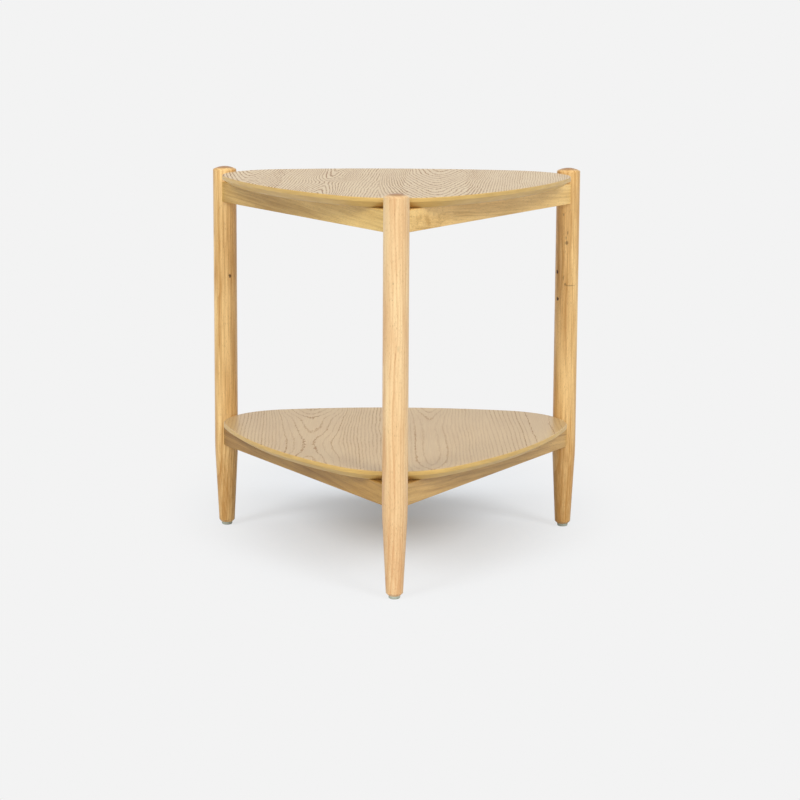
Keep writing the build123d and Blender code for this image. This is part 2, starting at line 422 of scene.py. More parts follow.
@dataclass(frozen=True)
class FaceVeneer:
    """The crown-cut ring-porous veneer on a board's face, under satin lacquer.

    Attributes:
        leaves: The leaves from left to right.
        pale: The colour between the rings.
        dark: The colour of the denser wood.
        pore: The colour of the open pores that draw the ring lines.
        seed: A shift that gives another sheet of the same veneer.
        contrast: How strongly the ring lines show.
        evenness: How much of that strength all lines share.
        raggedness: How far the lines stray sideways, in millimetres.
        pore_width: The width of a line of pores.
        roughness: The lacquer's roughness.
    """

    leaves: tuple[Leaf, ...]
    pale: Colour
    dark: Colour
    pore: Colour
    seed: float
    contrast: float
    evenness: float
    raggedness: float
    pore_width: float = 1.7
    roughness: float = 0.34

    SWAY = Grain((60, 150, 900), detail=1.0)
    JAG = Grain((3.4, 11, 900))
    DRIFT = Grain((42, 300, 900), seed=13, detail=1.0)
    FIBRE = Grain((0.8, 60, 900), detail=3.0)
    DASH = Grain((0.7, 6.5, 900), seed=3)
    CLOUD = Grain((38, 120, 900), seed=7)
    # How far the heart line wanders in millimetres, and the rings that come and go with it.
    WANDER, SWELL = 9, 0.6
    # Where the flanks begin and are full, and where the rings turn narrow, in reaches.
    FLANK, NARROWING = (0.5, 2.6), (0.9, 1.1)
    # Where a line of pores rises in millimetres, and where it falls in parts of its width.
    LINE_START, LINE_END = (0.0, 0.35), (0.6, 1.4)
    # Between which noise values lines fade in, their dashes open and stray pores open.
    FADE, LINE_DASH, STRAY_DASH = (-0.2, 0.12), (-0.16, 0.08), (0.12, 0.25)
    STRAY_STRENGTH = 0.3
    # How far the dense wood reaches past a line in millimetres.
    DENSE_REACH = 2.6
    # How much of the dark colour fibres, clouds, dense wood and all of the sheet take.
    FIBRE_TONE, CLOUD_TONE, DENSE_TONE, BASE_TONE = 1.3, 0.6, 0.25, 0.25
    # How deep pores and fibres lie in millimetres, and how strongly their relief shows.
    PORE_DEPTH, FIBRE_DEPTH, RELIEF = 0.05, 0.01, 0.4
    # How much rougher open pores are, and how much the lacquer bends light.
    PORE_DULLING, LACQUER_IOR = 0.4, 1.5

    def rings(self, graph: Graph, leaf: Leaf) -> tuple[Value, Value, Value]:
        """Counts the growth rings across one leaf.

        Args:
            graph: The material's graph.
            leaf: The leaf.

        Returns:
            A number that grows by 1 from ring to ring, the width of a ring there, and how
            strongly its line shows.
        """
        sway = graph.noise(graph.place, self.SWAY, self.seed + leaf.heart)
        jag = graph.noise(graph.place, self.JAG, self.seed - leaf.heart)
        bend = graph.y * (graph.y * leaf.bow + leaf.lean)
        offset = graph.x - leaf.heart - bend + sway * self.WANDER
        side = offset.hypot(leaf.crest) - leaf.crest
        narrow = 1 / leaf.far_pitch - 1 / leaf.near_pitch
        across = side / leaf.near_pitch + (side - leaf.reach).most(0.0) * narrow
        flank = (side / leaf.reach).rise(*self.FLANK)
        climb = graph.curve(graph.y, leaf.crown) * (1.0 - flank * leaf.calm)
        ring = across - climb + jag * (self.raggedness / leaf.near_pitch) + sway * self.SWELL
        tight = (side / leaf.reach).rise(*self.NARROWING)
        pitch = leaf.near_pitch + tight * (leaf.far_pitch - leaf.near_pitch)
        return ring, pitch, 1.0 - flank * leaf.faint

    def material(self, name: str) -> bpy.types.Material:
        """Builds the veneer's material.

        Args:
            name: The material's name.

        Returns:
            The material.
        """
        graph = Graph(name)
        figure = self.rings(graph, self.leaves[0])
        for leaf in self.leaves[1:]:
            here = graph.math("GREATER_THAN", graph.x, leaf.first)
            beyond = self.rings(graph, leaf)
            figure = [old + (new - old) * here for old, new in zip(figure, beyond)]
        ring, pitch, strength = figure
        past = ring.rest() * pitch
        drift = graph.noise(graph.place, self.DRIFT, self.seed).rise(*self.FADE)
        alike, apart = self.evenness, 1.0 - self.evenness
        weight = (graph.draw(ring.whole(), self.seed) * apart + alike) * (drift * apart + alike)
        start, end = (share * self.pore_width for share in self.LINE_END)
        line = past.rise(*self.LINE_START) * (1.0 - past.rise(start, end))
        fibre = graph.noise(graph.place, self.FIBRE, self.seed)
        dash = graph.noise(graph.place, self.DASH, self.seed)
        cloud = graph.noise(graph.place, self.CLOUD, self.seed)
        pores = line * weight * strength * dash.rise(*self.LINE_DASH) * self.contrast
        dense = 1.0 - past.rise(0.0, self.DENSE_REACH)
        tone = fibre * self.FIBRE_TONE + cloud * self.CLOUD_TONE + dense * self.DENSE_TONE
        colour = graph.blend(tone + self.BASE_TONE, self.pale, self.dark)
        strays = dash.rise(*self.STRAY_DASH) * self.STRAY_STRENGTH
        colour = graph.blend(pores + strays, colour, self.pore)
        graph.relief(fibre * self.FIBRE_DEPTH - pores * self.PORE_DEPTH, self.RELIEF)
        roughness = self.roughness + pores * self.PORE_DULLING
        return graph.finish(colour, roughness, IOR=self.LACQUER_IOR)


@dataclass(frozen=True)
class Mark:
    """A knot, pin mark, thin line or long band of painted shade on a turned leg, in millimetres.

    Attributes:
        sideways: How far right of the leg's axis it is seen from the front.
        height: Its height above the floor.
        wide: Half its width round the leg.
        tall: Half its height.
        deep: How strongly it shows.
    """

    sideways: float
    height: float
    wide: float
    tall: float
    deep: float

    RAGGED = Grain((2.2, 2.2, 2.6), seed=8.0)
    # How far its edge strays, and between which parts of its size it fades.
    STRAY, FADE = 1.1, (0.45, 1.1)
    # Where round the leg it may show, as parts of the radius towards it.
    FACING = (0.3, 0.6)

    def spot(self, place: Sequence[Value], ragged: Value, radius: float) -> Value:
        """Gives how dark the mark is at each place.

        Args:
            place: The place along X and Y from the leg's axis, and its height.
            ragged: How far the edges of marks stray there, as a swing about nought.
            radius: The leg's radius.

        Returns:
            The mark's strength, which is 0 away from it.
        """
        across, beside, height = place
        turn = Corner.FRONT.value + math.degrees(math.asin(self.sideways / radius))
        aim, tangent = heading(turn), heading(turn + 90)
        sideways = (across * tangent.x + beside * tangent.y) / self.wide
        upward = (height - self.height) / self.tall
        outward = (across * aim.x + beside * aim.y) / radius
        far = sideways.hypot(upward) + ragged * self.STRAY
        return (1.0 - far.rise(*self.FADE)) * outward.rise(*self.FACING) * self.deep


@dataclass(frozen=True)
class SolidWood:
    """Pale hardwood under thin satin lacquer, for what is turned or sawn from the solid.

    Attributes:
        pale: The light early wood.
        dark: The darker late wood.
        fleck: The colour of the short pores.
        end: The colour of the end grain.
        knot: The colour of knots and marks, and of the long band of painted shade on the right
            leg.
        pith: Where the growth rings are centred, across the grain from the piece's axis.
        ring_pitch: The width of one ring.
        ring_strength: How strongly the late wood of a ring shows.
        seed: A shift that gives another board of the same wood.
        shades: Where it turns darker along the grain: from there, to there, by how much; on the
            left rails this is painted shade by the left leg.
        streaks: How strongly the fibres and cloudy streaks show.
        slant: How far the grain runs out across the piece, for each millimetre along it.
        curl: Where along the piece the grain turns wavy, as its middle and half its length.
        roughness: The lacquer's roughness.
        shine: How much light the lacquer reflects.
    """

    pale: Colour
    dark: Colour
    fleck: Colour
    end: Colour
    knot: Colour = srgb(78, 50, 22)
    pith: tuple[float, float] = (34.0, 12.0)
    ring_pitch: float = 4.2
    ring_strength: float = 0.5
    seed: float = 0.0
    shades: tuple[tuple[float, float, float], ...] = ()
    streaks: float = 1.0
    slant: float = 0.0
    curl: tuple[float, float] | None = None
    roughness: float = 0.32
    shine: float = 0.25

    SWAY = Grain((24, 24, 150))
    WAVE = Grain((18, 20, 17), seed=21, detail=3.0)
    FIBRE = Grain((0.9, 0.9, 45), seed=2, detail=3.0)
    CLOUD = Grain((11, 11, 110), seed=5)
    DASH = Grain((0.42, 0.42, 4.5), seed=9, detail=1.0)
    # How far the rings wander across and beside, and how much curl sways and darkens them.
    WANDER, CURL_SWAY, CURL_TONE = (9, 5), 5.0, 2.4
    # Where in a ring the late wood builds up, where it stops, and how faint a ring may be.
    LATE_START, LATE_END, LEAST_RING = (0.35, 0.95), (0.95, 1.0), 0.3
    # Between which noise values flecks open, and how strongly they and end grain show.
    FLECK_DASH, FLECK_STRENGTH, END_STRENGTH = (0.1, 0.24), 0.55, 0.85
    # How much of the dark colour fibres, clouds and all of the piece take.
    FIBRE_TONE, CLOUD_TONE, BASE_TONE = 1.1, 1.2, 0.24
    # How deep fibres and flecks lie in millimetres, and how strongly their relief shows.
    DEPTH, RELIEF = 0.03, 0.3
    # How much rougher its clouds are.
    DULLING = 0.12

    def dress(self, graph: Graph, place: Sequence[Value], marks: Value | None = None,
              ends: Value | None = None) -> bpy.types.Material:
        """Colours a graph as wood with the grain along one direction.

        Args:
            graph: The material's graph.
            place: The place across, beside and along the grain.
            marks: How dark the knots and marks are at each place.
            ends: Where end grain shows, from 0 to 1.

        Returns:
            The finished material.
        """
        across, beside, along = place
        beside = beside + along * self.slant
        place = (across, beside, along)
        waves: Value | float = 0.0
        if self.curl:
            middle, half = self.curl
            near = 1.0 - ((along - middle) / half).size().rise(0.0, 1.0)
            waves = graph.noise(place, self.WAVE, self.seed) * near
        sway = graph.noise(place, self.SWAY, self.seed) + waves * self.CURL_SWAY
        east = across - self.pith[0] + sway * self.WANDER[0]
        north = beside - self.pith[1] + sway * self.WANDER[1]
        ring = east.hypot(north) / self.ring_pitch
        phase = ring.rest()
        late = phase.rise(*self.LATE_START) * (1.0 - phase.rise(*self.LATE_END))
        weight = graph.draw(ring.whole(), self.seed) * (1 - self.LEAST_RING) + self.LEAST_RING
        fibre = graph.noise(place, self.FIBRE, self.seed)
        cloud = graph.noise(place, self.CLOUD, self.seed)
        flecks = graph.noise(place, self.DASH, self.seed).rise(*self.FLECK_DASH)
        streak = (fibre * self.FIBRE_TONE + cloud * self.CLOUD_TONE) * self.streaks
        tone = late * weight * self.ring_strength + streak + self.BASE_TONE
        tone = tone + waves * self.CURL_TONE
        # Each span turns the piece darker along its length; on the left rails that darkening is
        # painted shade.
        for start, end, strength in self.shades:
            tone = tone + along.rise(start, end) * strength
        colour = graph.blend(tone, self.pale, self.dark)
        colour = graph.blend(flecks * self.FLECK_STRENGTH, colour, self.fleck)
        if ends is not None:
            colour = graph.blend(ends * self.END_STRENGTH, colour, self.end)
        if marks is not None:
            colour = graph.blend(marks, colour, self.knot)
        graph.relief((fibre - flecks) * self.DEPTH, self.RELIEF)
        roughness = self.roughness + cloud * self.DULLING
        return graph.finish(colour, roughness, Specular_IOR_Level=self.shine)


@dataclass(frozen=True)
class StainedEdge:
    """The smooth moulded edge of a board's core, stained and lacquered.

    Attributes:
        pale: The lighter stain.
        dark: The darker stain.
        roughness: The lacquer's roughness.
        shine: How much light the lacquer reflects.
    """

    pale: Colour
    dark: Colour
    roughness: float = 0.38
    shine: float = 0.25

    CLOUD = Grain((26, 26, 3), seed=4.0, detail=3.0)
    SPECK = Grain((1.1, 1.1, 0.7), seed=9.0)
    # How much of the dark stain clouds, specks and all of the edge take.
    CLOUD_TONE, SPECK_TONE, BASE_TONE = 1.3, 0.5, 0.4
    # How deep the specks lie in millimetres, how strongly they show, and how rough clouds are.
    DEPTH, RELIEF, DULLING = 0.02, 0.3, 0.1

    def material(self, name: str) -> bpy.types.Material:
        """Builds the edge's material.

        Args:
            name: The material's name.

        Returns:
            The material.
        """
        graph = Graph(name)
        cloud = graph.noise(graph.place, self.CLOUD)
        speck = graph.noise(graph.place, self.SPECK)
        tone = cloud * self.CLOUD_TONE + speck * self.SPECK_TONE + self.BASE_TONE
        graph.relief(speck * self.DEPTH, self.RELIEF)
        colour = graph.blend(tone, self.pale, self.dark)
        roughness = self.roughness + cloud * self.DULLING
        return graph.finish(colour, roughness, Specular_IOR_Level=self.shine)


@dataclass(frozen=True)
class BrightMetal:
    """Plated or drawn metal of the fittings.

    Attributes:
        pale: The bright colour.
        dark: The colour in the dull patches.
        roughness: The polish, where less is brighter.
        grain: The size of the dull patches.
    """

    pale: Colour
    dark: Colour
    roughness: float
    grain: float

    # The size of a scratch beside a patch, and between which noise values patches turn dull.
    SCRATCH_SHARE, DULL_EDGE = 0.12, (-0.2, 0.2)
    # How deep scratches lie in millimetres, how strongly they show, and how rough they are.
    DEPTH, RELIEF, DULLING = 0.02, 0.4, 0.2

    def material(self, name: str) -> bpy.types.Material:
        """Builds the metal's material.

        Args:
            name: The material's name.

        Returns:
            The material.
        """
        graph = Graph(name)
        patches = Grain((self.grain,) * 3, seed=2.0, detail=4.0)
        lines = Grain((self.grain * self.SCRATCH_SHARE,) * 3, seed=6.0)
        dull = graph.noise(graph.place, patches).rise(*self.DULL_EDGE)
        scratches = graph.noise(graph.place, lines)
        graph.relief(scratches * self.DEPTH, self.RELIEF)
        colour = graph.blend(dull, self.pale, self.dark)
        return graph.finish(colour, self.roughness + scratches * self.DULLING, Metallic=1.0)


@dataclass(frozen=True)
class Nylon:
    """Moulded grey-green plastic of the foot glides, scuffed by the floor.

    Attributes:
        fresh: The colour as moulded.
        worn: The colour where the floor has scuffed it.
        roughness: The roughness of its skin.
        scuff: Between which heights the scuffs end.
    """

    fresh: Colour
    worn: Colour
    roughness: float = 0.55
    scuff: tuple[float, float] = (0.1, 1.4)

    SKIN = Grain((0.5, 0.5, 0.5), seed=1.0, detail=3.0)
    CLOUD = Grain((5, 5, 5), seed=5.0)
    # How much of the worn colour scuffs, clouds and all of the glide take.
    SCUFF_TONE, CLOUD_TONE, BASE_TONE = 0.5, 0.8, 0.2
    # How deep the skin's grain lies in millimetres, how strongly it shows, and how rough it is.
    DEPTH, RELIEF, DULLING = 0.06, 0.5, 0.15

    def material(self, name: str) -> bpy.types.Material:
        """Builds the plastic's material.

        Args:
            name: The material's name.

        Returns:
            The material.
        """
        graph = Graph(name)
        skin = graph.noise(graph.place, self.SKIN)
        cloud = graph.noise(graph.place, self.CLOUD)
        low = 1.0 - graph.z.rise(*self.scuff)
        tone = low * self.SCUFF_TONE + cloud * self.CLOUD_TONE + self.BASE_TONE
        graph.relief(skin * self.DEPTH, self.RELIEF)
        colour = graph.blend(tone, self.fresh, self.worn)
        return graph.finish(colour, self.roughness + skin * self.DULLING)


class Modeller:
    """Shapes one mesh by the same operators as a hand would use, in the frame's own place."""

    def __init__(self, name: str) -> None:
        """Keeps the name for the piece and leaves nothing selected.

        Args:
            name: The piece's name.
        """
        self.name = name
        self.piece: bpy.types.Object | None = None
        self._rest()

    def _rest(self) -> None:
        """Goes back to object mode with nothing selected."""
        if bpy.context.mode != "OBJECT":
            bpy.ops.object.mode_set(mode="OBJECT")
        bpy.ops.object.select_all(action="DESELECT")

    def _take(self) -> None:
        """Selects the piece and makes it the active one."""
        bpy.context.view_layer.objects.active = self.piece
        self.piece.select_set(True)

    def _edit(self) -> None:
        """Opens the new primitive in edit mode, with its place put into its mesh."""
        self.piece = bpy.context.active_object
        self.piece.name = self.name
        self.piece.data.name = self.name
        bpy.ops.object.transform_apply(location=True, rotation=True, scale=True)
        bpy.ops.object.mode_set(mode="EDIT")

    def cylinder(self, foot: Vector, radius: float, height: float, sides: int) -> None:
        """Starts from an upright cylinder.

        Args:
            foot: The middle of its lower face.
            radius: Its radius.
            height: Its height.
            sides: How many sides it has.
        """
        middle = foot + Vector((0, 0, height / 2))
        bpy.ops.mesh.primitive_cylinder_add(
            vertices=sides, radius=radius, depth=height, end_fill_type="NGON", location=middle)
        self._edit()

    def outline(self, start: Vector, arcs: Sequence[tuple[Vector, float, int]]) -> None:
        """Draws a closed outline of tangent arcs from one point and fills it.

        Args:
            start: The point that the first arc starts from.
            arcs: Each arc's centre, turn in radians and number of steps.
        """
        bpy.ops.mesh.primitive_plane_add(size=MM, location=start)
        self._edit()
        bpy.ops.mesh.select_mode(type="VERT")
        bpy.ops.mesh.select_all(action="SELECT")
        bpy.ops.mesh.merge(type="CENTER")
        for centre, turn, steps in arcs:
            # In the background the spin turns clockwise for a positive angle.
            bpy.ops.mesh.spin(steps=steps, angle=-turn, center=centre, axis=(0, 0, 1))
        bpy.ops.mesh.select_all(action="SELECT")
        bpy.ops.mesh.remove_doubles(threshold=CLOSE)
        bpy.ops.mesh.edge_face_add()

    def _pick(self, kind: str, test: Callable[..., bool]) -> None:
        """Selects the faces or edges that pass a test, and nothing else.

        Args:
            kind: FACE or EDGE.
            test: Says of a face or edge whether it is selected.
        """
        bpy.ops.mesh.select_mode(type=kind)
        bpy.ops.mesh.select_all(action="DESELECT")
        mesh = bmesh.from_edit_mesh(self.piece.data)
        for element in mesh.faces if kind == "FACE" else mesh.edges:
            element.select_set(test(element))
        bmesh.update_edit_mesh(self.piece.data)

    def pick_level(self, *ways: int) -> None:
        """Selects the faces that look straight up for 1, and straight down for -1."""
        self._pick("FACE", lambda face: any(face.normal.z * way > LEVEL for way in ways))

    def pick_rim(self, height: float) -> None:
        """Selects the edges that lie at one height."""
        self._pick("EDGE", lambda edge: all(abs(end.co.z - height) < CLOSE for end in edge.verts))

    def push(self, by: float, about: Vector | None = None, scale: float = 1.0) -> None:
        """Extrudes what is selected up or down, and narrows or widens its end.

        Args:
            by: How far up, or down where it is negative.
            about: The point on the axis that the end is scaled about, once it is there.
            scale: How much wider the end becomes.
        """
        bpy.ops.mesh.extrude_region_move(TRANSFORM_OT_translate={"value": (0, 0, by)})
        if about is not None:
            bpy.ops.transform.resize(value=(scale, scale, 1), center_override=about)

    def inset(self, width: float, rise: float = 0.0) -> None:
        """Insets the selected faces.

        Args:
            width: How wide the border is.
            rise: How far their inner part moves up, or down where it is negative.
        """
        bpy.ops.mesh.inset(thickness=width, depth=0)
        if rise:
            bpy.ops.transform.translate(value=(0, 0, rise))

    def round(self, radius: float, segments: int) -> None:
        """Rounds the selected edges."""
        bpy.ops.mesh.bevel(offset=radius, offset_type="OFFSET", segments=segments, profile=0.5,
                           affect="EDGES", clamp_overlap=True)

    def close_point(self) -> None:
        """Draws the selected cap together into one point."""
        bpy.ops.mesh.merge(type="CENTER")

    def turn_outward(self) -> None:
        """Turns every face outward."""
        bpy.ops.mesh.select_all(action="SELECT")
        bpy.ops.mesh.normals_make_consistent(inside=False)

    def bore(self, start: Vector, end: Vector, radius: float, sides: int = 32) -> None:
        """Cuts a round hole between two points.

        Args:
            start: The middle of the hole's mouth.
            end: The middle of its end.
            radius: Its radius.
            sides: How many sides it has.
        """
        self._rest()
        axis = end - start
        bpy.ops.mesh.primitive_cylinder_add(
            vertices=sides, radius=radius, depth=axis.length, location=(start + end) / 2,
            rotation=axis.to_track_quat("Z", "Y").to_euler())
        cutter = bpy.context.active_object
        self._rest()
        self._take()
        bpy.ops.object.modifier_add(type="BOOLEAN")
        cut = self.piece.modifiers[-1]
        cut.operation = "DIFFERENCE"
        cut.solver = "EXACT"
        cut.object = cutter
        bpy.ops.object.modifier_apply(modifier=cut.name)
        bpy.data.objects.remove(cutter)
        bpy.ops.object.mode_set(mode="EDIT")

    def slice_copy(self, name: str, above: float | None, below: float | None) -> "Modeller":
        """Copies the piece and keeps only a level slice of the copy.

        Args:
            name: The copy's name.
            above: The height that the slice starts at, if it is cut below.
            below: The height that the slice ends at, if it is cut above.

        Returns:
            A modeller that holds the copy.
        """
        copy = Modeller(name)
        self._take()
        bpy.ops.object.duplicate()
        copy._edit()
        for height, keep_upper in ((above, True), (below, False)):
            if height is not None:
                bpy.ops.mesh.select_all(action="SELECT")
                bpy.ops.mesh.bisect(plane_co=(0, 0, height), plane_no=(0, 0, 1), use_fill=True,
                                    clear_inner=keep_upper, clear_outer=not keep_upper,
                                    threshold=CUT_CLOSE)
        return copy

    def finish(self, material: bpy.types.Material, slot: str, *nodes: str) -> bpy.types.Object:
        """Closes the mesh, smooths it and lets it stand for its nodes of the frame.

        Args:
            material: The piece's finish.
            slot: Not used.
            nodes: The frame's nodes that the piece stands for.

        Returns:
            The finished piece.
        """
        bpy.ops.mesh.select_all(action="SELECT")
        bpy.ops.mesh.remove_doubles(threshold=WELD_CLOSE)
        self.turn_outward()
        self._rest()
        self._take()
        bpy.ops.object.shade_smooth_by_angle(angle=SMOOTH_BELOW)
        self.piece.data.materials.clear()
        self.piece.data.materials.append(material)
        self._rest()
        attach(self.piece, BODY)
        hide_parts(*nodes)
        log.info("%s: %d faces", self.name, len(self.piece.data.polygons))
        return self.piece


@dataclass
class Layout:
    """Where the legs and boards stand, worked out from the frame.

    Attributes:
        centre: The middle of the three legs, on the floor.
        leg_circle: The distance from there to a leg's axis.
    """

    centre: Vector
    leg_circle: float

    @classmethod
    def from_frame(cls) -> "Layout":
        """Reads the legs' places from the frame's nodes.

        Returns:
            The layout.
        """
        axes = []
        for corner in Corner:
            low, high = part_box(f"foot_glide_{corner.label}")
            axes.append(Vector(((low[0] + high[0]) / 2, (low[1] + high[1]) / 2, 0)))
        centre = sum(axes, Vector()) / len(axes)
        return cls(centre, (axes[0] - centre).length)

    def axis(self, corner: Corner) -> Vector:
        """Gives the point on the floor under a leg's middle."""
        return corner.point(self.leg_circle, self.centre)


@dataclass
class TurnedLeg:
    """One turned leg with its tapered foot, domed top and the two bores for its inserts.

    Attributes:
        corner: The corner that it stands in.
        layout: Where the legs stand.
        finish: The wood that it is turned from.
        marks: Its knots and marks.
        end_grain: How far below its top the end grain begins and is full, in millimetres.
    """

    corner: Corner
    layout: Layout
    finish: SolidWood
    marks: tuple[Mark, ...]

    radius: float = 17.5 * MM
    foot_radius: float = 11.75 * MM
    foot_chamfer: float = 3.5 * MM
    taper_top: float = 120.0 * MM
    blend_radius: float = 500.0 * MM
    shoulder: float = 2.5 * MM
    dome_rise: float = 4.5 * MM
    end_grain: tuple[float, float] = (3.4, 1.2)
    bolt_drop: float = 14.0 * MM
    insert_radius: float = 5.1 * MM
    insert_depth: float = 13.5 * MM
    sides: int = 96
    blend_steps: int = 8
    shoulder_steps: int = 6
    dome_steps: int = 9

    def foot(self, floor: float) -> list[tuple[float, float]]:
        """Gives the heights and radii from the straight shank down to the foot.

        Args:
            floor: The height of the leg's lower end.

        Returns:
            Pairs of height and radius, from the shank's lower end.
        """
        ankle = floor + self.foot_chamfer
        slope = math.atan((self.radius - self.foot_radius) / (self.taper_top - ankle))
        start = self.taper_top + self.blend_radius * math.tan(slope / 2)
        rows = []
        for step in range(self.blend_steps + 1):
            turn = slope * step / self.blend_steps
            rows.append((start - self.blend_radius * math.sin(turn),
                         self.radius - self.blend_radius * (1 - math.cos(turn))))
        return rows + [(ankle, self.foot_radius), (floor, self.foot_radius - self.foot_chamfer)]

    def head(self, top: float) -> list[tuple[float, float]]:
        """Gives the heights and radii from the shoulder up to the middle of the dome.

        Args:
            top: The height of the dome's middle.

        Returns:
            Pairs of height and radius, from the shank's upper end.
        """
        dome = (self.radius ** 2 + self.dome_rise ** 2) / (2 * self.dome_rise)
        ring = self.radius - self.shoulder
        lift = math.sqrt((dome - self.shoulder) ** 2 - ring ** 2)
        meet = math.atan2(lift, ring)
        rows = []
        for step in range(self.shoulder_steps + 1):
            turn = meet * step / self.shoulder_steps
            rows.append((top - dome + lift + self.shoulder * math.sin(turn),
                         ring + self.shoulder * math.cos(turn)))
        for step in range(1, self.dome_steps):
            turn = meet + (math.pi / 2 - meet) * step / self.dome_steps
            rows.append((top - dome + dome * math.sin(turn), dome * math.cos(turn)))
        return rows + [(top, CLOSE)]

    def material(self, top: float) -> bpy.types.Material:
        """Dresses the wood with this leg's marks and the end grain of its dome.

        Args:
            top: The height of the dome's middle.

        Returns:
            The leg's own material.
        """
        graph = Graph(f"leg_wood_{self.corner.label}")
        axis = self.layout.axis(self.corner) / MM
        across, beside = graph.x - axis.x, graph.y - axis.y
        place = (across, beside, graph.z)
        ragged = graph.noise(place, Mark.RAGGED)
        spots = sum(mark.spot(place, ragged, self.radius / MM) for mark in self.marks)
        ends = graph.z.rise(*(top / MM - drop for drop in self.end_grain))
        return self.finish.dress(graph, place, spots, ends)

    def build(self) -> bpy.types.Object:
        """Turns the leg and bores it.

        Returns:
            The finished leg.
        """
        node = f"leg_{self.corner.label}"
        low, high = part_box(node)
        axis = self.layout.axis(self.corner)
        foot, head = self.foot(low[2]), self.head(high[2])
        start, end = foot[0][0], head[0][0]
        model = Modeller(f"turned_{node}")
        model.cylinder(axis + Vector((0, 0, start)), self.radius, end - start, self.sides)
        for rows, way in ((foot, -1), (head, 1)):
            model.pick_level(way)
            for (height, radius), (next_height, next_radius) in pairwise(rows):
                about = Vector((axis.x, axis.y, next_height))
                model.push(next_height - height, about, next_radius / radius)
        model.close_point()
        outward = heading(self.corner.value)
        for tier in Tier:
            frame_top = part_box(f"{tier.value}_rail_back")[1][2]
            level = axis + Vector((0, 0, frame_top - self.bolt_drop))
            mouth = level - outward * (self.radius + BORE_LEAD)
            end = mouth + outward * (self.insert_depth + 2 * BORE_LEAD)
            model.bore(mouth, end, self.insert_radius)
        return model.finish(self.material(high[2]), "leg_wood", node)


@dataclass
class FootGlide:
    """One moulded glide under a leg, with the recess for its nail.

    Attributes:
        corner: The corner of its leg.
        layout: Where the legs stand.
        material: The glide's plastic.
    """

    corner: Corner
    layout: Layout
    material: bpy.types.Material

    edge_round: float = 2.4 * MM
    nail_recess_radius: float = 3.1 * MM
    nail_recess: float = 1.8 * MM
    nail_radius: float = 1.1 * MM
    sides: int = 64
    edge_steps: int = 5

    def build(self) -> bpy.types.Object:
        """Moulds the glide.

        Returns:
            The finished glide.
        """
        node = f"foot_glide_{self.corner.label}"
        low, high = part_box(node)
        radius = (high[0] - low[0]) / 2
        foot = self.layout.axis(self.corner)
        model = Modeller(f"moulded_{node}")
        model.cylinder(foot + Vector((0, 0, low[2])), radius, high[2] - low[2], self.sides)
        model.pick_rim(low[2])
        model.round(self.edge_round, self.edge_steps)
        model.pick_level(-1)
        model.inset(radius - self.edge_round - self.nail_recess_radius)
        model.push(self.nail_recess)
        below, above = Vector((0, 0, -BORE_LEAD)), Vector((0, 0, high[2] + BORE_LEAD))
        model.bore(foot + below, foot + above, self.nail_radius)
        return model.finish(self.material, "glide_plastic", node)


@dataclass
class Board:
    """One board: a moulded core between its face veneer and its backing veneer.

    Attributes:
        tier: Which of the two boards it is.
        layout: Where the legs stand.
        veneer: The face veneer's finish.
        edge: The core's material.
        backing: The backing veneer's material.
    """

    tier: Tier
    layout: Layout
    veneer: FaceVeneer
    edge: bpy.types.Material
    backing: bpy.types.Material

    corner_radius: float = 109.0 * MM
    side_radius: float = 690.0 * MM
    corner_centre: float = 171.1 * MM
    veneer_thickness: float = 0.6 * MM
    rim_round: float = 2.0 * MM
    lip_height: float = 5.9 * MM
    bevel_width: float = 14.4 * MM
    arris_round: float = 0.5 * MM
    corner_steps: int = 28
    side_steps: int = 20
    rim_steps: int = 6
    arris_steps: int = 3

    def arcs(self, level: float) -> tuple[Vector, list[tuple[Vector, float, int]]]:
        """Works out the outline from its two radii.

        Args:
            level: The height that it is drawn at.

        Returns:
            The start point, and each arc's centre, turn and steps, anticlockwise.
        """
        third = 2 * math.pi / len(Corner)
        gap = self.side_radius - self.corner_radius
        half = math.sin(third / 2) * self.corner_centre
        side_centre = math.sqrt(gap ** 2 - half ** 2) - self.corner_centre / 2
        side_turn = 2 * math.asin(half / gap)
        corner_turn = third - side_turn
        centre = self.layout.centre + Vector((0, 0, level))
        entry = heading(Corner.FRONT.value - math.degrees(corner_turn) / 2)
        start = Corner.FRONT.point(self.corner_centre, centre) + entry * self.corner_radius
        arcs = []
        for corner, side in zip(Corner, Side):
            arcs.append((corner.point(self.corner_centre, centre), corner_turn, self.corner_steps))
            arcs.append((centre - side_centre * heading(side.value), side_turn, self.side_steps))
        return start, arcs

    def build(self) -> list[bpy.types.Object]:
        """Cuts the blank, moulds its edge and splits it into its three layers.

        Returns:
            The face veneer, the core and the backing veneer.
        """
        name = self.tier.value
        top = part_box(f"{name}_face_veneer")[1][2]
        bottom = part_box(f"{name}_backing_veneer")[0][2]
        blank = Modeller(f"{name}_blank")
        blank.outline(*self.arcs(top))
        blank.push(-self.lip_height)
        blank.inset(self.bevel_width, bottom - top + self.lip_height)
        blank.turn_outward()
        blank.pick_rim(top)
        blank.round(self.rim_round, self.rim_steps)
        blank.pick_rim(top - self.lip_height)
        blank.round(self.arris_round, self.arris_steps)
        blank.pick_level(1, -1)
        blank.inset(self.arris_round)
        face_level = top - self.veneer_thickness
        back_level = bottom + self.veneer_thickness
        face = self.veneer.material(f"{name}_face_veneer_finish")
        pieces = []
        for layer, slot, above, below, material in (
                ("face_veneer", "face_veneer", face_level, None, face),
                ("board_core", "board_edge", back_level, face_level, self.edge),
                ("backing_veneer", "backing_veneer", None, back_level, self.backing)):
            copy = blank.slice_copy(f"{name}_shaped_{layer}", above, below)
            pieces.append(copy.finish(material, slot, f"{name}_{layer}"))
        bpy.data.objects.remove(blank.piece)
        return pieces


def dress_node(nodes: dict[str, bpy.types.Object], name: str,
               material: bpy.types.Material) -> None:
    """Gives one of the frame's nodes its material."""
    nodes[name].material_slots[0].material = material
    log.info("%s: dressed", name)


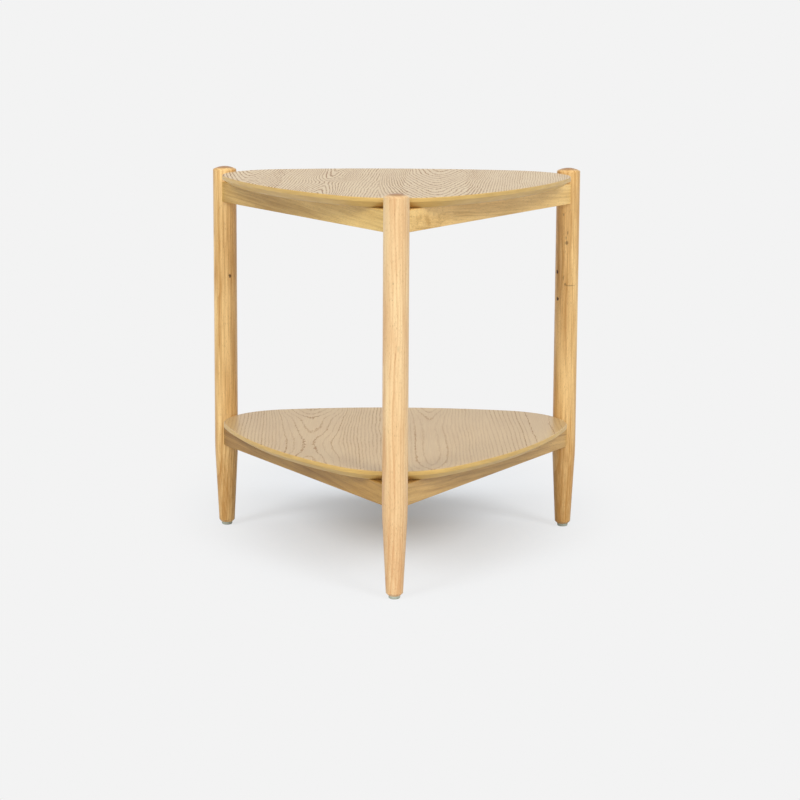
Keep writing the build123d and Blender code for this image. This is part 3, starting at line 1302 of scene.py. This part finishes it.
@dataclass
class TierFrame:
    """The rails, corner blocks and fittings under one board, which keep the frame's own shapes.

    Attributes:
        tier: Which of the two frames it is.
        nodes: The frame's nodes by name.
        rails: The wood of each rail, whose colours carry painted light and shade.
        block: The wood of the corner blocks.
        fittings: The material of each fitting, by the end of its node's name.
    """

    tier: Tier
    nodes: dict[str, bpy.types.Object]
    rails: dict[tuple[Tier, Side], SolidWood]
    block: SolidWood
    fittings: dict[str, bpy.types.Material]

    def wood(self, name: str, degrees: float, finish: SolidWood) -> None:
        """Dresses one piece with its grain at right angles to the way it faces.

        Args:
            name: The piece's node.
            degrees: The direction that the piece faces.
            finish: Its wood.
        """
        graph = Graph(f"{name}_wood")
        face, run = heading(degrees), heading(degrees + 90)
        across = graph.x * face.x + graph.y * face.y
        along = graph.x * run.x + graph.y * run.y
        dress_node(self.nodes, name, finish.dress(graph, (across, graph.z, along)))

    def dress(self) -> None:
        """Gives each rail, block and fitting of the tier its material."""
        tier = self.tier.value
        for side in Side:
            self.wood(f"{tier}_rail_{side.label}", side.value, self.rails[self.tier, side])
        for corner in Corner:
            self.wood(f"{tier}_corner_block_{corner.label}", corner.value, self.block)
        for ending, material in self.fittings.items():
            dress_node(self.nodes, f"{tier}_{ending}", material)


@dataclass(frozen=True)
class SoftLight:
    """One large soft light, far away.

    Attributes:
        name: What it is called.
        side: How far right of the front it stands, in degrees.
        height: How high it stands, in degrees.
        size: How large it looks from the table, in degrees.
        strength: Its strength.
    """

    name: str
    side: float
    height: float
    size: float
    strength: float


@dataclass
class Studio:
    """The pale floor, the soft light and the camera at the photograph's angle.

    Attributes:
        white: The plain white of the background.
        floor_paint: The floor's own cool white, which evens out the warm light of the wood.
        shadow_place: Where the shadow is deepest, in millimetres.
        shadow_reach: How far the shadow reaches from there along X and Y, in millimetres.
        shadow_fade: The parts of that reach where the floor starts to turn plain white, which
            may lie before its start, and where it has.
        fill: The strength of the light from all round.
        lights: The large soft lights.
        floor_size: The length of the floor's sides, in metres.
        camera_place: Where the camera stands.
        camera_pitch: How far it looks down, in radians.
        camera_roll: How far it is tilted, in radians.
        camera_yaw: How far it is turned to the right, in radians.
        camera_lens: Its focal length in millimetres.
        camera_film: The width of its film in millimetres.
    """

    white: Colour = (0.896, 0.896, 0.896, 1.0)
    floor_paint: Colour = (0.858, 0.907, 0.965, 1.0)
    shadow_place: tuple[float, float] = (0.0, 358.0)
    shadow_reach: tuple[float, float] = (238.0, 471.0)
    shadow_fade: tuple[float, float] = (-0.2, 1.7)
    fill: float = 0.33
    lights: tuple[SoftLight, ...] = (
        SoftLight("soft_light_left", side=-38.0, height=36.0, size=22.0, strength=1.22),
        SoftLight("soft_light_right", side=38.0, height=36.0, size=22.0, strength=1.22),
        SoftLight("soft_light_front", side=0.0, height=18.0, size=40.0, strength=0.42),
        SoftLight("soft_light_above", side=0.0, height=80.0, size=50.0, strength=0.5),
    )
    floor_size: float = 400.0

    camera_place: tuple[float, float, float] = (0.0, -3.43637, 0.833685)
    camera_pitch: float = 0.17391
    camera_roll: float = 0.0056
    camera_yaw: float = 0.00192
    camera_lens: float = 108.9
    camera_film: float = 36.0

    def mix(self, tree: bpy.types.NodeTree, share: bpy.types.NodeSocket, low: bpy.types.Node,
            high: bpy.types.Node, output: str) -> None:
        """Mixes two shaders by a share and gives them to a tree's output.

        Args:
            tree: The node tree.
            share: How much of the second shader shows.
            low: The first shader.
            high: The second shader.
            output: The name of the output node.
        """
        mix = tree.nodes.new("ShaderNodeMixShader")
        for socket, source in zip(mix.inputs, (share, low.outputs[0], high.outputs[0])):
            tree.links.new(source, socket)
        tree.links.new(mix.outputs[0], tree.nodes[output].inputs["Surface"])

    def floor(self) -> None:
        """Lays the floor, which the camera sees turn plain white away from the shadow."""
        bpy.ops.object.select_all(action="DESELECT")
        bpy.ops.mesh.primitive_plane_add(size=self.floor_size, location=(0, 0, 0))
        plane = bpy.context.active_object
        plane.name = "floor"
        graph = Graph("floor_paint")
        plane.data.materials.append(graph.finish(self.floor_paint, 1.0, Specular_IOR_Level=0.0))
        glow = graph.add("ShaderNodeEmission")
        glow.inputs["Color"].default_value = self.white
        seen = Value(graph, graph.add("ShaderNodeLightPath").outputs["Is Camera Ray"])
        east = (graph.x - self.shadow_place[0]) / self.shadow_reach[0]
        north = (graph.y - self.shadow_place[1]) / self.shadow_reach[1]
        share = seen * east.hypot(north).rise(*self.shadow_fade)
        self.mix(graph.tree, share.socket, graph.shader, glow, "Material Output")

    def world(self) -> None:
        """Lights the scene from all round, and shows the plain white to the eye and to gloss."""
        world = bpy.data.worlds.new("studio_air")
        bpy.context.scene.world = world
        world.use_nodes = True
        tree = world.node_tree
        light = tree.nodes["Background"]
        light.inputs["Color"].default_value = (1, 1, 1, 1)
        light.inputs["Strength"].default_value = self.fill
        shown = tree.nodes.new("ShaderNodeBackground")
        shown.inputs["Color"].default_value = self.white
        path = tree.nodes.new("ShaderNodeLightPath")
        seen = path.outputs["Is Camera Ray"]
        for ray in ("Is Glossy Ray", "Is Transmission Ray"):
            either = tree.nodes.new("ShaderNodeMath")
            either.operation = "MAXIMUM"
            tree.links.new(seen, either.inputs[0])
            tree.links.new(path.outputs[ray], either.inputs[1])
            seen = either.outputs[0]
        self.mix(tree, seen, light, shown, "World Output")

    def stand_lights(self) -> None:
        """Stands the large soft lights round and over the camera."""
        for light in self.lights:
            level = heading(Corner.FRONT.value + light.side) * math.cos(math.radians(light.height))
            aim = level + Vector((0, 0, math.sin(math.radians(light.height))))
            bpy.ops.object.light_add(type="SUN", rotation=aim.to_track_quat("Z", "Y").to_euler())
            lamp = bpy.context.active_object
            lamp.name = light.name
            lamp.data.energy = light.strength
            lamp.data.angle = math.radians(light.size)

    def camera(self) -> None:
        """Stands the camera where the photograph was taken from."""
        lens = bpy.data.cameras.new("camera")
        camera = bpy.data.objects.new("camera", lens)
        bpy.context.scene.collection.objects.link(camera)
        lens.lens = self.camera_lens
        lens.sensor_width = self.camera_film
        turns = (Matrix.Rotation(-self.camera_yaw, 4, "Z")
                 @ Matrix.Rotation(math.pi / 2 - self.camera_pitch, 4, "X")
                 @ Matrix.Rotation(self.camera_roll, 4, "Z"))
        camera.matrix_world = Matrix.Translation(self.camera_place) @ turns
        bpy.context.scene.camera = camera

    def build(self) -> None:
        """Sets up everything round the table."""
        bpy.context.scene.view_settings.view_transform = "Standard"
        self.floor()
        self.world()
        self.stand_lights()
        self.camera()
        log.info("studio: floor, world, soft lights and camera")


LEG_WOOD = dict(fleck=srgb(150, 104, 58), end=srgb(150, 100, 52))
# The side legs' wood: its dark colour is darker and warmer than the front leg's, partly the wood's
# own tone and partly painted shade of their inner sides and of the warm light bounced into them.
SIDE_LEG_WOOD_AND_PAINTED_SHADE = dict(pale=srgb(245, 206, 141), dark=srgb(192, 141, 76), streaks=1.4, **LEG_WOOD)

LEGS = {
    Corner.FRONT: (
        SolidWood(pale=srgb(237, 205, 154), dark=srgb(207, 156, 105), seed=3.0,
                  shades=((280, 40, 0.3),), **LEG_WOOD),
        (
            Mark(-3.8, 432, 1.3, 1.7, 0.3),
            Mark(-4.9, 410, 1.0, 1.4, 0.3),
            Mark(3.6, 345, 2.2, 5.0, 0.12),
        ),
    ),
    Corner.RIGHT: (
        SolidWood(seed=11.0, shades=((280, 40, 0.5), (330, 470, 0.25)), **SIDE_LEG_WOOD_AND_PAINTED_SHADE),
        (
            Mark(-7.0, 481, 1.2, 3.2, 0.4),
            Mark(-1.0, 454, 1.4, 3.4, 0.45),
            Mark(-3.2, 446, 1.2, 2.8, 0.4),
            Mark(-2.0, 439, 2.8, 3.8, 0.6),
            Mark(-15.0, 394, 2.8, 3.2, 1.0),
            Mark(-6.0, 385, 1.2, 5.0, 0.35),
            Mark(-3.5, 376, 2.2, 2.4, 0.5),
            Mark(4.0, 374, 9.0, 1.1, 0.45),
            Mark(-13.8, 353, 2.6, 3.2, 1.0),
            # A long faint dark band down the leg's inner left side: partly the grain's own change,
            # partly painted shade of that inner side.
            Mark(-12.0, 420, 8.0, 140.0, 0.16),
        ),
    ),
    Corner.LEFT: (
        SolidWood(seed=19.0, shades=((280, 40, 0.35), (330, 470, 0.25)), **SIDE_LEG_WOOD_AND_PAINTED_SHADE),
        (Mark(8.0, 386, 2.6, 3.4, 0.9),),
    ),
}

RAIL_MAKE = dict(fleck=srgb(122, 82, 38), end=srgb(160, 112, 56), pith=(20.0, 60.0),
                 ring_pitch=5.0, ring_strength=0.32, slant=0.06)
# One rail wood in painted copies: the top tier's colours are lighter with painted light, the shelf
# tier's darker with painted shade, and the right rails of each tier lighter still with painted
# light from the right.
TOP_RAIL_WOOD_PAINTED_LIGHT = dict(pale=srgb(236, 199, 122), dark=srgb(184, 141, 66), **RAIL_MAKE)
TOP_RAIL_WOOD_PAINTED_RIGHT_LIGHT = dict(pale=srgb(246, 205, 130), dark=srgb(198, 152, 77), **RAIL_MAKE)
SHELF_RAIL_WOOD_PAINTED_SHADE = dict(pale=srgb(194, 151, 79), dark=srgb(142, 99, 38), **RAIL_MAKE)
SHELF_RAIL_WOOD_PAINTED_SHADE_RIGHT_LIGHT = dict(pale=srgb(209, 168, 101), dark=srgb(157, 115, 57), **RAIL_MAKE)
RAILS = {
    # Painted shade: the rail turns darker towards the left leg, where the leg and the board above
    # shade its end.
    (Tier.TOP, Side.LEFT): SolidWood(seed=29.0, shades=((60, -170, 0.55),), **TOP_RAIL_WOOD_PAINTED_LIGHT),
    (Tier.TOP, Side.RIGHT): SolidWood(seed=61.0, curl=(-165.0, 150.0), **TOP_RAIL_WOOD_PAINTED_RIGHT_LIGHT),
    (Tier.TOP, Side.BACK): SolidWood(seed=53.0, **TOP_RAIL_WOOD_PAINTED_LIGHT),
    # Painted shade: the rail turns darker towards the left leg, where the leg and the board above
    # shade its end.
    (Tier.SHELF, Side.LEFT): SolidWood(seed=31.0, shades=((-120, -200, 0.35),), **SHELF_RAIL_WOOD_PAINTED_SHADE),
    (Tier.SHELF, Side.RIGHT): SolidWood(seed=47.0, **SHELF_RAIL_WOOD_PAINTED_SHADE_RIGHT_LIGHT),
    (Tier.SHELF, Side.BACK): SolidWood(seed=59.0, **SHELF_RAIL_WOOD_PAINTED_SHADE),
}
BLOCK_WOOD = SolidWood(
    pale=srgb(214, 184, 136), dark=srgb(182, 146, 96), fleck=srgb(140, 104, 62),
    end=srgb(170, 128, 80), pith=(10.0, 80.0), seed=37.0, roughness=0.6)
BACKING = SolidWood(
    pale=srgb(206, 176, 128), dark=srgb(178, 144, 96), fleck=srgb(140, 104, 66),
    end=srgb(160, 120, 74), pith=(300.0, 700.0), ring_pitch=6.0, seed=43.0, roughness=0.6)

TOP_VENEER = FaceVeneer(
    leaves=(
        Leaf(first=-400, heart=-217, near_pitch=5.0, far_pitch=4.3, reach=30, crest=8,
             calm=0.3, faint=-0.6, crown=((-280, -6.5), (280, 6.5))),
        Leaf(first=-165, heart=-101, near_pitch=5.2, far_pitch=4.3, reach=16, crest=4,
             calm=0.9, faint=0.3, lean=0.05,
             crown=((-260, 5.0), (-45, 0.6), (6, 0.0), (31, 0.6), (61, 1.6), (101, 2.6),
                    (190, 3.6), (260, 4.6))),
        Leaf(first=-25, heart=56, near_pitch=6.0, far_pitch=3.5, reach=30, crest=16,
             calm=0.75, faint=0.5, lean=0.026, bow=0.0001,
             crown=((-280, -8.0), (-140, -4), (-92, -3), (-62, -2), (-28, -1), (18, 0), (55, 1),
                    (91, 2), (128, 3), (161, 4), (218, 5), (280, 6.2))),
    ),
    pale=srgb(219, 195, 151), dark=srgb(191, 157, 113), pore=srgb(135, 93, 61),
    seed=5.0, contrast=1.2, evenness=0.72, raggedness=3.2)
SHELF_VENEER = FaceVeneer(
    leaves=(
        Leaf(first=-400, heart=-123, near_pitch=10.0, far_pitch=5.3, reach=32, crest=12,
             calm=0.9, faint=0.0, lean=-0.02,
             crown=((-260, 2.4), (-145, 1.2), (-60, 0.2), (71, 1.0), (170, 2.0), (200, 3.0),
                    (280, 5.0))),
        Leaf(first=0, heart=51, near_pitch=9.0, far_pitch=5.0, reach=14, crest=8,
             calm=0.9, faint=0.4,
             crown=((-280, -4.0), (-207, -1.9), (-175, -0.95), (-120, -0.55), (100, -0.5),
                    (175, 0.0), (231, 1.0), (280, 2.0))),
        Leaf(first=135, heart=219, near_pitch=24.0, far_pitch=6.5, reach=14, crest=6,
             calm=0.9, faint=0.0, lean=-0.02, crown=((-280, 0.5), (60, 0.4), (280, 0.6))),
    ),
    pale=srgb(215, 187, 137), dark=srgb(189, 153, 103), pore=srgb(143, 94, 58),
    seed=17.0, contrast=0.8, evenness=0.3, raggedness=6.0)

EDGE = StainedEdge(pale=srgb(218, 181, 108), dark=srgb(188, 149, 82))
ZINC = BrightMetal(srgb(196, 200, 204), srgb(160, 165, 172), roughness=0.32, grain=6.0)
YELLOW_ZINC = BrightMetal(srgb(214, 188, 120), srgb(180, 158, 104), roughness=0.34, grain=5.0)
BRASS = BrightMetal(srgb(206, 172, 96), srgb(172, 138, 74), roughness=0.36, grain=5.0)
STEEL = BrightMetal(srgb(176, 178, 180), srgb(136, 138, 142), roughness=0.4, grain=4.0)
GLIDE = Nylon(fresh=srgb(172, 178, 162), worn=srgb(142, 146, 132))


def main() -> None:
    """Builds and dresses the table in order, then its studio."""
    logging.basicConfig(level=logging.INFO, format="%(name)s: %(message)s")
    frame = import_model()
    layout = Layout.from_frame()
    plastic = GLIDE.material("glide_plastic_finish")
    for corner in Corner:
        finish, marks = LEGS[corner]
        TurnedLeg(corner, layout, finish, marks).build()
        FootGlide(corner, layout, plastic).build()
    edge = EDGE.material("board_edge_finish")
    back = Graph("backing_veneer_finish")
    backing = BACKING.dress(back, (back.x, back.z, back.y))
    zinc = ZINC.material("zinc_finish")
    yellow = YELLOW_ZINC.material("yellow_zinc_finish")
    fittings = {
        "leg_bolts": zinc,
        "flat_washers": zinc,
        "spring_washers": zinc,
        "leg_inserts": BRASS.material("insert_finish"),
        "board_screws": yellow,
        "block_screws": yellow,
    }
    for tier, veneer in ((Tier.TOP, TOP_VENEER), (Tier.SHELF, SHELF_VENEER)):
        Board(tier, layout, veneer, edge, backing).build()
        TierFrame(tier, frame["nodes"], RAILS, BLOCK_WOOD, fittings).dress()
    dress_node(frame["nodes"], "glide_nails", STEEL.material("nail_finish"))
    Studio().build()


if __name__ == "__main__":
    main()
